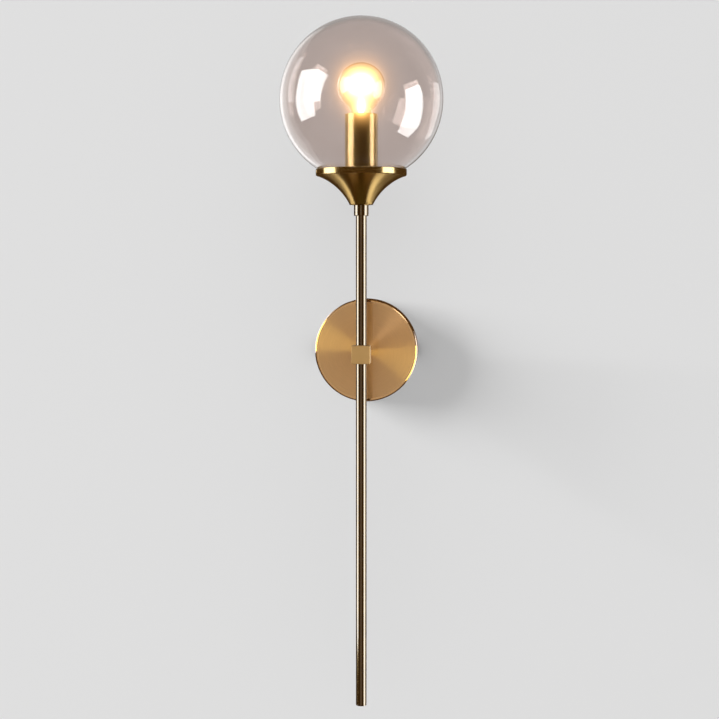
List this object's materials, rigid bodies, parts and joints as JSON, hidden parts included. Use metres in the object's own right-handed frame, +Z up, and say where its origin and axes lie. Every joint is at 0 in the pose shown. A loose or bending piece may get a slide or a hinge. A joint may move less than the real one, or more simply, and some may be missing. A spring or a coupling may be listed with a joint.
{
  "type": "wall sconce",
  "caption": "Wall sconce with a smoked glass globe on a trumpet-shaped brass gallery, carried by a tall slim rod through a square block on a round canopy.",
  "frame": {"origin": "middle of the canopy on the wall face", "axes": "+Z up along the rod, -Y out from the wall into the room, +X to the right seen from the room"},
  "size_m": [0.15, 0.16, 0.6401],
  "materials": {
    "brass_polished": "polished",
    "brass_satin": "satin",
    "brass_brushed": "brushed in circles",
    "brass_plain": "turned",
    "zinc_steel": "zinc plated",
    "smoke_glass": "clear, lightly smoked",
    "clear_glass": "clear",
    "porcelain": "glazed white",
    "white_plastic": "matt",
    "silicone": "translucent white",
    "cap_metal": "rolled",
    "black_vitrite": "glassy black",
    "solder": "dull",
    "nickel_wire": "drawn",
    "tungsten": "glowing",
    "wire_brown": "insulation",
    "wire_blue": "insulation",
    "wire_earth": "insulation"
  },
  "bodies": {
    "frame": {"wall_bracket": "zinc_steel", "canopy": "brass_brushed", "canopy_screws": "brass_satin", "canopy_nipple": "zinc_steel", "canopy_washer": "zinc_steel", "canopy_nut": "zinc_steel", "standoff_post": "brass_polished", "rod_block": "brass_satin", "upper_rod": "brass_polished", "lower_rod": "brass_polished", "rod_end_plug": "brass_polished", "rod_collar": "brass_polished", "gallery_nipple": "zinc_steel", "gallery_cup": "brass_polished", "gallery_ring": "brass_polished", "gallery_washer": "zinc_steel", "gallery_nut": "zinc_steel", "gallery_plate": "brass_satin", "globe_gasket": "silicone", "holder_base": "zinc_steel", "holder_body": "porcelain", "holder_shell": "brass_plain", "holder_contact": "brass_plain", "holder_terminals": "brass_plain", "holder_terminal_screws": "zinc_steel", "socket_sleeve": "brass_satin", "terminal_block": "white_plastic", "terminal_clamps": "brass_plain", "terminal_screws": "zinc_steel", "terminal_fixing_screw": "zinc_steel", "earth_screw": "brass_plain", "earth_lug": "zinc_steel", "earth_wire": "wire_earth", "wire_live": "wire_brown", "wire_neutral": "wire_blue"},
    "globe": {"globe": "smoke_glass"},
    "bulb": {"bulb_tip": "solder", "bulb_insulator": "black_vitrite", "bulb_cap": "cap_metal", "bulb_glass": "clear_glass", "bulb_stem": "clear_glass", "bulb_leads": "nickel_wire", "bulb_filament": "tungsten"},
    "screw_right": {"gallery_screw_right": "brass_plain"},
    "screw_back": {"gallery_screw_back": "brass_plain"},
    "screw_left": {"gallery_screw_left": "brass_plain"}
  },
  "joints": [
    {"name": "globe_lift", "type": "slide", "parent": "frame", "child": "globe", "axis": [0, 0, 1], "range_m": [0, 0.115]},
    {"name": "bulb_out", "type": "slide", "parent": "frame", "child": "bulb", "axis": [0, 0, 1], "range_m": [0, 0.03]},
    {"name": "screw_right_out", "type": "slide", "parent": "frame", "child": "screw_right", "axis": [0.7254, -0.6884, 0], "range_m": [0, 0.003]},
    {"name": "screw_back_out", "type": "slide", "parent": "frame", "child": "screw_back", "axis": [0.2334, 0.9724, 0], "range_m": [0, 0.003]},
    {"name": "screw_left_out", "type": "slide", "parent": "frame", "child": "screw_left", "axis": [-0.9588, -0.284, 0], "range_m": [0, 0.003]}
  ]
}
